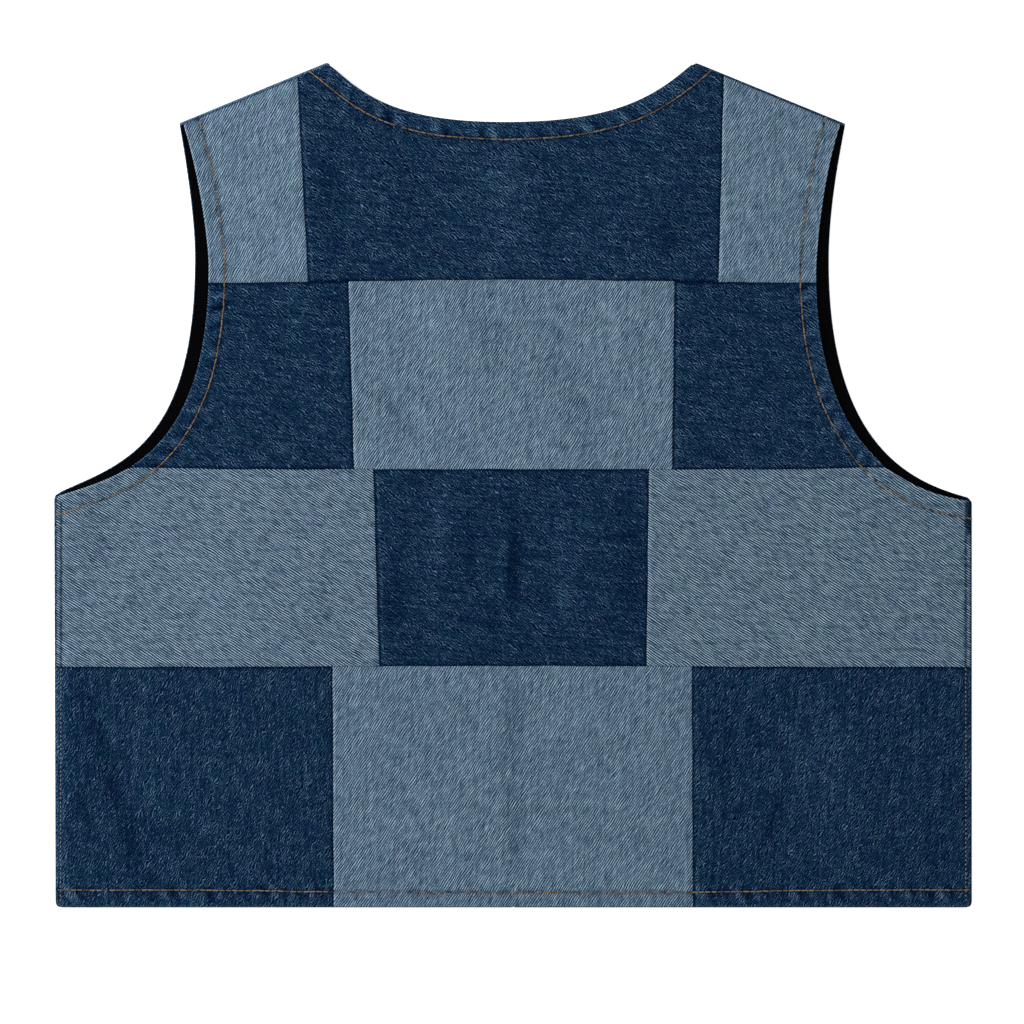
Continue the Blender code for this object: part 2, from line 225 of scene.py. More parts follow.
backRuns = backEdges()
frontRuns = {side: frontEdges(side) for side in ("Left", "Right")}
backSides = fourSides(
    backRuns, ("hem", "underarm", "tip", "neck", "neck", "tip", "underarm", "hem"), [7, 0, 2, 5]
)
frontSides = {
    "Left": fourSides(frontRuns["Left"], ("tip", "tip", "neck", "tip", "underarm", "hem"), [5, 0, 2, 3]),
    "Right": fourSides(frontRuns["Right"], ("underarm", "tip", "neck", "tip", "tip", "hem"), [4, 5, 1, 2]),
}


def aroundSides(sides):  # the whole outline again, anticlockwise
    return np.concatenate([sides["bottom"], sides["right"], sides["top"][::-1], sides["left"][::-1]])


backOutline = aroundSides(backSides)
print("gilet: outlines drawn")


# Nearest place on a line to each point: how far off the point is, and how far along the line that place lies.
# Pieces of the line out of reach of all the points are left out, and far away is the answer if none is left.
def nearLine(points, line, reach=35.0):
    start, end, along = line[:-1], line[1:], lengths(line)[:-1]
    low, high = points.min(axis=0) - reach, points.max(axis=0) + reach
    near = ((np.minimum(start, end) < high) & (np.maximum(start, end) > low)).all(axis=1)
    if not near.any():
        return np.full(len(points), farAway), np.zeros(len(points))
    start, way, along = start[near], (end - start)[near], along[near]
    size = np.maximum(norm(way, axis=1), tiny)
    offset = points[:, None] - start
    share = np.clip((offset * way).sum(axis=2) / size ** 2, 0.0, 1.0)
    away = norm(offset - share[..., None] * way, axis=2)
    rows, best = np.arange(len(points)), away.argmin(axis=1)
    return away[rows, best], along[best] + share[rows, best] * size[best]


def offLine(points, line):  # how far each point is from a line
    return nearLine(points, line)[0]


def xOn(line, y):  # x at a height, on a line that runs upwards
    return np.interp(y, line[:, 1], line[:, 0])


def yOn(line, x):  # height at an x, on a line that runs across
    return np.interp(x, line[:, 0], line[:, 1])


# Where a line that runs upwards meets one that runs across, by going from one to the other until they agree.
def meeting(upward, across, rounds=40):
    x = upward[np.argmin(np.abs(upward[:, 1] - yOn(across, upward[:, 0]))), 0]
    for _ in range(rounds):
        y = yOn(across, x)
        x = xOn(upward, y)
    return np.array([x, y])


rimPlaces = [0.0, 0.12, 0.32]  # in from an edge, over its rounding


# Places across a width as shares of it, close together near both ends where edges and stitching are.
def spacing(width, near, nearStep, step):
    close = np.concatenate([rimPlaces, np.arange(layers["edgeRound"], near, nearStep)])
    middle = np.linspace(near, width - near, max(2, round((width - 2 * near) / step) + 1))
    return np.concatenate([close, middle, (width - close)[::-1]]) / width


# Grid over four lines that cross at the corners: the ruled surface between left and right, plus the one
# between bottom and top, less the flat one through the corners. Lines are read at shares of height or width.
def gridBetween(bottom, right, top, left, near=13.0, nearStep=0.8, step=1.7):
    lowLeft, lowRight = meeting(left, bottom), meeting(right, bottom)
    highLeft, highRight = meeting(left, top), meeting(right, top)
    wide = (norm(lowRight - lowLeft) + norm(highRight - highLeft)) / 2
    high = (norm(highLeft - lowLeft) + norm(highRight - lowRight)) / 2
    u = spacing(wide, near, nearStep, step)[None, :, None]
    v = spacing(high, near, nearStep, step)[:, None, None]

    def across(line, start, end):
        x = start[0] + u[..., 0] * (end[0] - start[0])
        return np.stack([x, yOn(line, x)], axis=-1)

    def upward(line, start, end):
        y = start[1] + v[..., 0] * (end[1] - start[1])
        return np.stack([xOn(line, y), y], axis=-1)

    sides = upward(left, lowLeft, highLeft) * (1 - u) + upward(right, lowRight, highRight) * u
    ends = across(bottom, lowLeft, lowRight) * (1 - v) + across(top, highLeft, highRight) * v
    flat = (lowLeft * (1 - u) + lowRight * u) * (1 - v) + (highLeft * (1 - u) + highRight * u) * v
    return sides + ends - flat


# Mesh of quads from whole arrays.
def quadMesh(name, points, quads, material):
    mesh = bpy.data.meshes.new(name)
    mesh.vertices.add(len(points))
    mesh.vertices.foreach_set("co", np.ascontiguousarray(points, np.float32).ravel())
    mesh.loops.add(quads.size)
    mesh.loops.foreach_set("vertex_index", np.ascontiguousarray(quads, np.int32).ravel())
    mesh.polygons.add(len(quads))
    mesh.polygons.foreach_set("loop_start", np.arange(0, quads.size, 4, dtype=np.int32))
    mesh.update(calc_edges=True)
    mesh.shade_smooth()
    mesh.materials.append(material)
    piece = bpy.data.objects.new(name, mesh)
    bpy.context.scene.collection.objects.link(piece)
    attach(piece, "root")
    return piece


def addAttribute(piece, name, values):  # a value for every point of a mesh
    attribute = piece.data.attributes.new(name, "FLOAT", "POINT")
    attribute.data.foreach_set("value", np.ascontiguousarray(values, np.float32).ravel())


def toWorld(plan, height):  # in metres, with half the length at 0
    return np.concatenate([plan - (0.0, layers["length"] / 2), height[..., None]], axis=-1) * mm


# Closed shell over a grid: its top face, its under face turned over, and a strip round the rim between them.
def shell(name, plan, top, under, material, sharpFrom=60.0):
    rows, columns = plan.shape[:2]
    index = np.arange(rows * columns).reshape(rows, columns)
    upper = np.stack([index[:-1, :-1], index[:-1, 1:], index[1:, 1:], index[1:, :-1]], axis=-1)
    upper = upper.reshape(-1, 4)
    rim = np.concatenate([index[0, :-1], index[:-1, -1], index[-1, :0:-1], index[:0:-1, 0]])
    nextOn = np.roll(rim, -1)
    below = rows * columns
    strip = np.stack([rim, rim + below, nextOn + below, nextOn], axis=-1)
    points = np.concatenate([toWorld(plan.reshape(-1, 2), height) for height in (top, under)])
    piece = quadMesh(name, points, np.concatenate([upper, upper[:, ::-1] + below, strip]), material)
    piece.data.set_sharp_from_angle(angle=math.radians(sharpFrom))
    return piece


# One cloth piece: it stands for its CAD node, which is hidden.
def declareCloth(node):
    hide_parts(node)


def toLinear(colour):  # sRGB hex to linear
    channels = [int(colour[i:i + 2], 16) / 255 for i in (1, 3, 5)]
    return [v / 12.92 if v <= 0.04045 else ((v + 0.055) / 1.055) ** 2.4 for v in channels] + [1.0]


# Adds a node with its settings, its input values and the sockets linked into it, and gives one output.
# A colour ramp also takes its stops.
def addNode(tree, kind, inputs=None, links=None, output=0, stops=(), **settings):
    made = tree.nodes.new("ShaderNode" + kind)
    for key, value in settings.items():
        setattr(made, key, value)
    for key, value in (inputs or {}).items():
        made.inputs[key].default_value = value
    for key, source in (links or {}).items():
        tree.links.new(source, made.inputs[key])
    for i, (position, colour) in enumerate(stops):
        elements = made.color_ramp.elements
        element = elements[i] if i < len(elements) else elements.new(position)
        element.position = position
        element.color = toLinear(colour)
    return made.outputs[output]


def newMaterial(name, values):  # with these values of its shader
    material = bpy.data.materials.new(name)
    material.use_nodes = True
    shader = material.node_tree.nodes["Principled BSDF"]
    for key, value in values.items():
        shader.inputs[key].default_value = value
    return material, material.node_tree, shader


denims = {
    # Washed denim: indigo warp worn pale on the twill's ridges, navy lines left between them, a cloudy fade.
    "light": {
        "name": "stone-washed cotton denim twill",
        "stops": [(0.0, "#03182e"), (0.25, "#233d55"), (0.5, "#526b81"), (0.75, "#7892a7"), (1.0, "#aac5d6")],
        "wale": 1.2,  # mm between twill ridges, coarser than real, to show
        "twill": 0.85, "twillFade": (0.5, 1.16), "fadeSize": (5.0, 2.8),
        "wander": 1.6, "wanderSize": (9.0, 8.0),  # mm that the twill lines stray sideways
        "streak": 1.06, "streakSize": (6.5, 0.48),
        "grit": 0.84, "gritSize": (0.8, 0.6),
        "hair": 0.08, "hairSize": (3.4, 2.6), "hairHalf": 0.03,
        "slub": 0.34, "slubSize": (22.0, 1.3),
        "cloud": 0.1, "cloudSize": (30.0, 16.0),
        "tint": 0.034, "tintSize": (16.0, 12.0),
        "tone": -0.03, "roughness": 0.92,
    },
    # Raw denim: deep indigo, where only short bits of white weft and loose hairs show as pale flecks.
    "dark": {
        "name": "indigo cotton denim twill",
        "stops": [(0.0, "#00081a"), (0.25, "#00132d"), (0.5, "#05233f"), (0.75, "#234260"), (1.0, "#6483a0")],
        "wale": 1.3,
        "twill": 0.58, "twillFade": (0.45, 1.2), "fadeSize": (9.0, 6.0),
        "wander": 3.5, "wanderSize": (3.5, 4.0),
        "streak": 0.92, "streakSize": (3.2, 0.4),
        "grit": 1.12, "gritSize": (0.62, 0.52),
        "hair": 0.26, "hairSize": (2.4, 1.8), "hairHalf": 0.027,
        "slub": 0.36, "slubSize": (24.0, 1.6),
        "cloud": 0.1, "cloudSize": (20.0, 12.0),
        "tint": 0.034, "tintSize": (16.0, 12.0),
        "tone": -0.055, "roughness": 0.9,
    },
}
denimSurface = {"Specular IOR Level": 0.03, "Sheen Weight": 0.03, "Sheen Roughness": 0.3}
denimBump = {"Strength": 0.6, "Distance": 0.25 * mm}
twillToWarp = 33.0  # degrees from the twill lines round to the warp
patchShift = (37.0, 11.0)  # so that each patch comes from another part of the cloth
noiseSpan = (0.34, 0.66)  # nearly all the values of a noise lie in it
bandsPerUnit = 20 / fullTurn  # drawn by a wave texture of scale 1


# Denim: a twill wave whose lines wander, fading in and out in patches, plus streaks along them, yarn grit,
# loose hairs, uneven warp threads and a slow wash. Their sum, with the piece's own wear and painted light
# and shade added, picks the colour, whose hue drifts a little, and the first three also lift the surface.
def denimMaterial(place, cloth, grain, tone, contrast):
    d = denims[cloth]
    surface = {"Roughness": d["roughness"], **denimSurface}
    material, tree, shader = newMaterial(f"{d['name']}, {place}", surface)
    shift = (patchShift[0] * len(place), patchShift[1] * grain, 0.0)
    object3d = addNode(tree, "TexCoord", output="Object")
    laid = addNode(
        tree, "Mapping", {
            "Scale": (1 / mm, 1 / mm, 0.0), "Rotation": (0.0, 0.0, math.radians(-grain)), "Location": shift,
        }, {"Vector": object3d},
    )
    warp = addNode(tree, "Mapping", {"Rotation": (0.0, 0.0, math.radians(-twillToWarp))}, {"Vector": laid})

    def spread(key, way):  # noise of the size that its entry gives, in mm along and across a way
        along, across = d[key + "Size"]
        vector = addNode(tree, "Mapping", {"Scale": (1 / along, 1 / across, 0.0)}, {"Vector": way})
        return addNode(tree, "TexNoise", {"Scale": 1.0, "Detail": 1.0, "Roughness": 0.5}, {"Vector": vector})

    strays = spread("wander", laid)
    offset = addNode(tree, "Math", {1: d["wander"]}, {0: strays}, operation="MULTIPLY")
    sideStep = addNode(tree, "CombineXYZ", {}, {"Y": offset})
    strayed = addNode(tree, "VectorMath", {}, {0: laid, 1: sideStep}, operation="ADD")
    wave = addNode(
        tree, "TexWave", {"Scale": 1 / (bandsPerUnit * d["wale"]), "Distortion": 0.0},
        {"Vector": strayed}, output="Fac", wave_type="BANDS", bands_direction="Y", wave_profile="SIN",
    )
    low, high = d["twillFade"]
    fading = addNode(
        tree, "MapRange",
        {"From Min": noiseSpan[0], "From Max": noiseSpan[1], "To Min": low, "To Max": high},
        {"Value": spread("fade", laid)},
    )
    centred = addNode(tree, "Math", {1: 0.5}, {0: wave}, operation="SUBTRACT")
    total = addNode(tree, "Math", {}, {0: centred, 1: fading}, operation="MULTIPLY")
    start = 0.5 + d["tone"] + tone - sum(d[key] for key in ("streak", "grit", "slub", "cloud")) / 2
    total = addNode(tree, "Math", {1: d["twill"] * contrast, 2: start}, {0: total}, operation="MULTIPLY_ADD")
    relief = None
    for key, way in (("streak", strayed), ("grit", laid), ("slub", warp), ("cloud", warp)):
        total = addNode(tree, "Math", {1: d[key]}, {0: spread(key, way), 2: total}, operation="MULTIPLY_ADD")
        relief = total if key == "grit" else relief
    curls = spread("hair", strayed)
    fromMiddle = addNode(tree, "Math", {1: 0.5}, {0: curls}, operation="SUBTRACT")
    fromLine = addNode(tree, "Math", {}, {0: fromMiddle}, operation="ABSOLUTE")
    hair = addNode(
        tree, "MapRange",
        {"From Min": 0.0, "From Max": d["hairHalf"], "To Min": d["hair"], "To Max": 0.0}, {"Value": fromLine},
    )
    # the piece's wear, with its painted shade and painted highlights
    wearAndShading = addNode(tree, "Attribute", output="Fac", attribute_name="wearAndShading")
    for added in (hair, wearAndShading):
        total = addNode(tree, "Math", {}, {0: total, 1: added}, operation="ADD")
    colour = addNode(tree, "ValToRGB", {}, {"Fac": total}, stops=d["stops"])
    hue = addNode(
        tree, "MapRange", {"To Min": 0.5 - d["tint"] / 2, "To Max": 0.5 + d["tint"] / 2},
        {"Value": spread("tint", warp)},
    )
    tinted = addNode(tree, "HueSaturation", {}, {"Hue": hue, "Color": colour})
    tree.links.new(tinted, shader.inputs["Base Color"])
    bump = addNode(tree, "Bump", denimBump, {"Height": relief})
    tree.links.new(bump, shader.inputs["Normal"])
    return material


liningLook = {
    "stops": [(0.0, "#020203"), (1.0, "#0e0e11")],
    "thread": 0.9, "waver": 0.4,
    "surface": {"Roughness": 0.9, "Specular IOR Level": 0.02},
    "bump": {"Strength": 0.5, "Distance": 0.1 * mm},
}


# Lining: black plain weave, so all it gives the eye is a faint even grid of threads, drawn coarser than real.
def liningMaterial():
    look = liningLook
    material, tree, shader = newMaterial("black plain-weave lining", look["surface"])
    object3d = addNode(tree, "TexCoord", output="Object")
    laid = addNode(tree, "Mapping", {"Scale": (1 / mm, 1 / mm, 0.0)}, {"Vector": object3d})
    warp, weft = [
        addNode(
            tree, "TexWave",
            {"Scale": 1 / (bandsPerUnit * look["thread"]), "Distortion": look["waver"], "Detail": 1.0},
            {"Vector": laid}, output="Fac", wave_type="BANDS", bands_direction=direction, wave_profile="SIN",
        )
        for direction in ("X", "Y")
    ]
    grid = addNode(tree, "Math", {}, {0: warp, 1: weft}, operation="MULTIPLY")
    colour = addNode(tree, "ValToRGB", {}, {"Fac": grid}, stops=look["stops"])
    tree.links.new(colour, shader.inputs["Base Color"])
    bump = addNode(tree, "Bump", look["bump"], {"Height": grid})
    tree.links.new(bump, shader.inputs["Normal"])
    return material


threadLook = {
    "stops": [(0.0, "#17171c"), (0.3, "#63503b"), (0.65, "#8d7150"), (1.0, "#757a82")],
    "surface": {"Roughness": 0.6, "Specular IOR Level": 0.35},
    "bump": {"Strength": 0.5, "Distance": 0.15 * mm},
}


# Thread: two plies of dyed polyester twisted together, so it shines a little and shows slanting grooves.
# Each stitch has its own shade, from near black, a painted shade where it lies deep in its groove, through
# brown and ochre to grey where it is rubbed.
def threadMaterial():
    look = threadLook
    material, tree, shader = newMaterial("twisted ochre polyester thread", look["surface"])
    shade = addNode(tree, "Attribute", output="Fac", attribute_name="shade")
    colour = addNode(tree, "ValToRGB", {}, {"Fac": shade}, stops=look["stops"])
    tree.links.new(colour, shader.inputs["Base Color"])
    ply = addNode(tree, "Attribute", output="Fac", attribute_name="ply")
    groove = addNode(tree, "Math", {}, {0: ply}, operation="SINE")
    bump = addNode(tree, "Bump", look["bump"], {"Height": groove})
    tree.links.new(bump, shader.inputs["Normal"])
    return material


view = {
    "lens": 200.0,
    "sensor": 36.0,
    "frameWidth": 580.5,  # seen across the picture at the aim's height
    "aim": (-0.73, 224.2),  # in the plan, at the middle of the picture
    "aimHeight": 1.5,
    "world": 0.5,
    "key": {"place": (-1300.0, 350.0, 1300.0), "size": 700.0, "power": 19.5},
    "fill": {"place": (1100.0, -300.0, 1600.0), "size": 1200.0, "power": 3.0},
    "table": {
        "Base Color": toLinear("#f2f2f0"), "Roughness": 0.7, "Specular IOR Level": 0.2,
        "Emission Color": (1.0, 1.0, 1.0, 1.0), "Emission Strength": 0.6,
    },
    "floorSize": 60000.0,
    "floorDrop": 0.02,  # under the cloth, so that the two faces don't share a place
}


# Camera straight above, a long lens's distance up, two soft lamps, a white sky and a table lit from below.
def setStage():
    scene = bpy.context.scene
    scene.view_settings.view_transform = "Standard"
    lens = bpy.data.cameras.new("camera")
    lens.lens, lens.sensor_width = view["lens"], view["sensor"]
    camera = bpy.data.objects.new("camera", lens)
    x, y = view["aim"]
    height = view["aimHeight"] + view["frameWidth"] * view["lens"] / view["sensor"]
    camera.location = (x * mm, (y - layers["length"] / 2) * mm, height * mm)
    scene.collection.objects.link(camera)
    scene.camera = camera
    for name in ("key", "fill"):
        lamp = bpy.data.lights.new(name, "AREA")
        lamp.shape = "DISK"
        lamp.size = view[name]["size"] * mm
        lamp.energy = view[name]["power"]
        light = bpy.data.objects.new(name, lamp)
        light.location = [value * mm for value in view[name]["place"]]
        light.rotation_euler = (-light.location).to_track_quat("-Z", "Y").to_euler()
        scene.collection.objects.link(light)
    world = bpy.data.worlds.new("white sky")
    world.use_nodes = True
    sky = world.node_tree.nodes["Background"].inputs
    sky["Color"].default_value = (1.0, 1.0, 1.0, 1.0)
    sky["Strength"].default_value = view["world"]
    scene.world = world
    material = newMaterial("white acrylic light table", view["table"])[0]
    half = view["floorSize"] / 2 * mm
    mesh = bpy.data.meshes.new("table")
    mesh.from_pydata(
        [(-half, -half, 0.0), (half, -half, 0.0), (half, half, 0.0), (-half, half, 0.0)], [], [(0, 1, 2, 3)]
    )
    mesh.materials.append(material)
    floor = bpy.data.objects.new("table", mesh)
    floor.location.z = -view["floorDrop"] * mm
    scene.collection.objects.link(floor)


setStage()
print("gilet: camera, lights and table set")

# Rows from the hem up. A seam between two patches leans from its low to its high place, and the seam over
# a row is bowed up in the middle or lifted at its ends. A patch is its cloth, grain in degrees, tone and
# contrast.
patchRows = [
    {
        "name": "hem", "low": 0.0, "high": 136.4, "bow": 0.6, "ends": 0.0,
        "left": (-101.7, -102.3), "right": (101.8, 101.2),
        "patches": {
            "left": ("dark", 59.0, 0.0, 1.0),
            "centre": ("light", 57.0, 0.01, 0.92),
            "right": ("dark", 54.0, 0.0, 1.0),
        },
    },
    {
        "name": "waist", "low": 136.4, "high": 248.4, "bow": 0.0, "ends": 1.0,
        "left": (-76.0, -79.2), "right": (75.5, 76.9),
        "patches": {
            "left": ("light", -33.0, -0.05, 1.42),
            "centre": ("dark", -39.0, -0.01, 0.95),
            "right": ("light", -34.0, -0.055, 1.42),
        },
    },
    {
        "name": "chest", "low": 248.4, "high": 354.0, "bow": 1.7, "ends": 0.0,
        "left": (-90.1, -93.3), "right": (90.0, 91.4),
        "patches": {
            "left": ("dark", -39.0, 0.0, 1.0),
            "centre": ("light", 58.0, 0.025, 1.0),
            "right": ("dark", -38.0, 0.0, 1.0),
        },
    },
    {
        "name": "shoulder", "low": 354.0, "high": 471.0, "bow": 0.0, "ends": 0.0,
        "left": (-116.2, -122.4), "right": (116.3, 119.3),
        "patches": {
            "left": ("light", 61.0, 0.06, 0.9),
            "centre": ("dark", -39.0, 0.005, 1.05),
            "right": ("light", 58.0, 0.05, 0.9),
        },
    },
]
seamGap = 0.05  # between the turned edges of two patches that are sewn together

bands = {  # turned edges of the back
    "width": 9.7,  # to the stitching
    "step": 1.4,  # over which the band's thickness falls away past it
    "rise": 0.5,
    "hemTurn": 1.0,  # layers turned in below the hem
    "groove": 0.28,  # how deep the stitching pulls in
    "grooveHalf": 0.95,
    "pucker": 0.24,  # height of the small ropes across a band
    "puckerLength": 10.5,
    "puckerSlant": 0.45,
    "puckerReach": 1.5,  # band widths
    "puckerEven": 0.6,  # share of a rope's height that doesn't come and go
    "puckerSwell": 61.0,
}
joins = {  # side and shoulder seams
    "fall": 1.3, "sideRun": 8.0, "shoulderRun": 7.0,
    "groove": 0.3, "grooveHalf": 0.7,
    "left": (2.05, 2.95), "right": (2.7, 2.7),  # how far in the stitching is, at the hem and at the underarm
    "rubRun": 9.0,
}
cloths = ("light", "dark")
wearAndShadingOf = {  # wear and painted light and shade on each cloth, for a whole rope, groove, side strip or band
    # ropes paler on their worn crests, painted shade in the hollows between them
    "pucker": (0.13, 0.42),
    # painted shadow in the grooves of the band and side stitching
    "groove": (-0.14, -0.25),
    "sideGroove": (-0.42, -0.2),
    # paler towards each side edge, partly rubbed and partly a painted highlight from the light on the left
    "rubLeft": (0.03, 0.14),
    "rubRight": (0.02, 0.05),
    "bandHem": (-0.02, 0.0),
    "bandNeck": (0.0, 0.02),
    "bandArmholeLeft": (-0.05, 0.0),
    "bandArmholeRight": (-0.02, 0.06),
}
sag = {"depth": 2.1, "run": 32.0}  # inside the fronts' neckline

creases = np.array([  # x, y, lean in degrees, half length, half width, rise, bow of its middle, wear (paler on humps, painted shade in troughs)
    (2, 188, 2, 62, 26, 0.5, 0, 0),
    (6, 66, -3, 52, 24, 0.45, 0, 0),
    (-38, 302, 6, 56, 28, 0.4, 0, 0.01),
    (44, 300, -8, 48, 24, 0.35, 0, 0),
    (-172, 180, -14, 58, 26, 0.4, 0, 0.03),
    (176, 176, 12, 52, 28, 0.4, 0, 0.01),
    (-178, 70, 8, 46, 26, 0.35, 0, 0.02),
    (176, 76, -6, 56, 30, 0.4, 0, 0.07),
    (-0.5, 195, 1, 42, 7, -0.6, 0.8, -0.21),
    (-44, 212, 4, 50, 9, 0.28, 1.5, 0.09),
    (29, 204, -2, 44, 10, 0.28, -1, 0.08),
    (27, 172, 0, 16, 10, 0.15, 0, 0.09),
    (-26, 203, 3, 32, 7, -0.3, 0.5, -0.1),
    (-12, 162, 0, 20, 6, -0.25, 0, -0.1),
    (66, 196, 0, 56, 11, -0.2, 0, -0.09),
    (-66, 178, 4, 36, 10, -0.22, 0, -0.1),
    (0.6, 106, 1, 56, 9, -0.4, -0.6, -0.09),
    (0, 44, -1, 56, 9, -0.36, 0.5, -0.08),
    (-64, 38, 6, 28, 10, -0.28, 1, -0.02),
    (60, 90, -20, 36, 6, -0.26, 2, -0.03),
    (78, 66, -16, 34, 6, -0.22, 1, -0.03),
    (-58, 110, -12, 30, 10, -0.18, 0, -0.02),
    (-16, 324, -22, 40, 9, -0.34, 1, -0.075),
    (28, 308, -22, 52, 15, -0.28, -2, -0.055),
    (40, 274, 4, 34, 12, -0.22, 0, -0.05),
    (-68, 283, -28, 36, 9, -0.3, 0, -0.065),
    (56, 333, 5, 30, 12, 0.25, 0, 0.055),
    (-44, 326, -8, 36, 12, 0.24, 1, 0.055),
    (-6, 400, 0, 62, 24, 0.3, 0, 0.07),
    (21, 395, 1, 40, 6, -0.28, -0.5, -0.05),
    (88, 386, -8, 32, 12, -0.26, 0, -0.09),
    (-105, 398, 2, 60, 15, -0.22, 0, -0.06),
    (-58, 392, 10, 36, 13, -0.18, 0, -0.03),
    (-227, 64, -21, 52, 9, -0.34, 1, -0.09),
    (-236, 100, -17, 44, 9, -0.28, 0, -0.1),
    (-214, 30, -21, 36, 9, -0.26, 0, -0.1),
    (-244, 58, -14, 32, 5, -0.24, 0, -0.13),
    (-209, 78, -18, 42, 10, 0.22, 0, 0.06),
    (146, 50, 17, 42, 7, -0.26, 1.5, -0.08),
    (120, 92, 6, 40, 9, -0.2, 0, -0.07),
    (238, 34, -10, 24, 9, -0.2, 0, -0.04),
    (-237, 205, 4, 26, 12, -0.28, 0, -0.1),
    (-226, 168, -14, 26, 8, -0.22, 0, -0.025),
    (-110, 177, 10, 42, 10, -0.28, 1, -0.06),
    (116, 157, 5, 20, 8, -0.22, 0, -0.02),
    (186, 205, 20, 30, 8, -0.2, 1, -0.02),
])


# Creases: each a round hump or trough across its bowed line, fading out towards both ends, and all of them
# summed, once for their height and once for their wear, which paints shade into the troughs.
def creaseRise(points):
    x, y, lean, halfLength, halfWidth, rise, bow, wearAndShading = creases.T
    way = np.stack([np.sin(np.radians(lean)), np.cos(np.radians(lean))])
    offsetX, offsetY = points[:, :1] - x, points[:, 1:] - y
    along = np.abs(offsetX * way[0] + offsetY * way[1]) / halfLength
    across = np.abs(offsetX * way[1] - offsetY * way[0] - bow * (1 - along ** 2)) / halfWidth
    share = (1 - smooth(along)) * (1 - smooth(across))
    return share @ rise, share @ wearAndShading


# Uneven wave from about -1 to 1: three sines whose lengths share no step.
def uneven(s, length, shift):
    t = fullTurn * s / length + shift
    return (np.sin(t) + 0.6 * np.sin(t / 1.618 + 2.1 * shift) + 0.4 * np.sin(t * 2.29 + 3.7 * shift)) / 2


# Whether points lie inside a closed outline, by counting the crossings to their right.
def inside(points, outline):
    x, y = points[:, :1], points[:, 1:]
    ax, ay = outline.T
    bx, by = np.roll(ax, -1), np.roll(ay, -1)
    spans = (ay > y) != (by > y)
    rise = np.where(by == ay, 1.0, by - ay)
    return (spans & (x < ax + (y - ay) / rise * (bx - ax))).sum(axis=1) % 2 == 1


seamWave = {  # of the seams between patches, which aren't quite straight
    "height": 0.18, "length": 43.0,
    "bowHalf": 175.0, "endsFrom": 150.0, "endsRun": 60.0,  # where a row's top seam is bowed or lifted
    "reach": 300.0, "past": 8.0,  # drawn past the sides, and past its row
    "within": 2.0,  # past its row, where an upright seam still counts
}


# Top seam of a row, rightwards: bowed up in the middle or lifted at its ends, and not quite straight.
def rowSeam(row, lift):
    x = np.linspace(-seamWave["reach"], seamWave["reach"], 121)
    bow = row["bow"] * np.clip(1 - (x / seamWave["bowHalf"]) ** 2, 0.0, 1.0) ** 2
    ends = row["ends"] * smooth((np.abs(x) - seamWave["endsFrom"]) / seamWave["endsRun"])
    wave = seamWave["height"] * uneven(x, seamWave["length"], row["high"])
    return np.stack([x, row["high"] + bow + ends + wave + lift], axis=1)


def columnSeam(row, side, shift):  # seam between two patches of a row, upwards and a little past the row
    low, high = row[side]
    rise = row["high"] - row["low"]
    y = np.linspace(row["low"] - seamWave["past"], row["high"] + seamWave["past"], 31)
    wave = seamWave["height"] * uneven(y, seamWave["length"], low)
    return np.stack([low + (high - low) * (y - row["low"]) / rise + wave + shift, y], axis=1)


# How far each point is from the nearest seam between patches.
def offSeams(points):
    away = [offLine(points, rowSeam(row, 0.0)) for row in patchRows[:-1]]
    more = seamWave["within"]
    for row in patchRows:
        within = (points[:, 1] > row["low"] - more) & (points[:, 1] < row["high"] + more)
        for side in ("left", "right"):
            away.append(np.where(within, offLine(points, columnSeam(row, side, 0.0)), farAway))
    return np.min(away, axis=0)


sewing = {
    "hem": [  # it dips a little in the middle
        (-258.4, 9.95), (-200.0, 10.05), (-154.0, 9.85), (-124.0, 9.2), (0.0, 8.85),
        (116.0, 8.9), (146.0, 9.6), (206.0, 10.1), (258.7, 10.1),
    ],
    "neck": 9.8, "neckEnds": (5.5, 6.5),  # how far in, and how far its ends run on
    "armholeLeft": 9.05, "armholeLeftEnds": (2.4, 3.2),
    "armholeRight": 8.9, "armholeRightEnds": (2.6, 2.0),
    "underarm": 0.85, "underarmTop": 275.0, "underarmRun": 35.0,  # further in towards the underarm
    "sideEnds": (3.0, 229.0),
    "wobble": 0.16, "wobbleLength": 37.0,
}


# Stitching lines of the back, each a width in from its edge and run on to the next edge; the hem's is listed.
def sewnLines():
    lines = {}
    hem = trimmed(np.array(sewing["hem"]), 0.0, 0.0, step=4.0)
    wobble = sewing["wobble"] * uneven(lengths(hem), sewing["wobbleLength"], 0.3)
    lines["hem"] = movedLeft(hem, wobble[:, None])
    for shift, edge in enumerate(("neck", "armholeLeft", "armholeRight")):
        line = trimmed(backRuns[edge], 0.0, 0.0)
        further = smooth((sewing["underarmTop"] - line[:, 1]) / sewing["underarmRun"])
        wobble = sewing["wobble"] * uneven(lengths(line), sewing["wobbleLength"], 1.1 + shift)
        width = sewing[edge] + sewing["underarm"] * further + wobble
        lines[edge] = runOn(movedLeft(line, width[:, None]), *sewing[edge + "Ends"])
    for side in ("Left", "Right"):
        edge = backRuns["side" + side]
        low, high = edge[np.argsort(edge[:, 1]), 0] - np.sign(edge[0, 0]) * np.array(joins[side.lower()])
        lines["side" + side] = straight((low, sewing["sideEnds"][0]), (high, sewing["sideEnds"][1]))
    return lines


sewn = sewnLines()
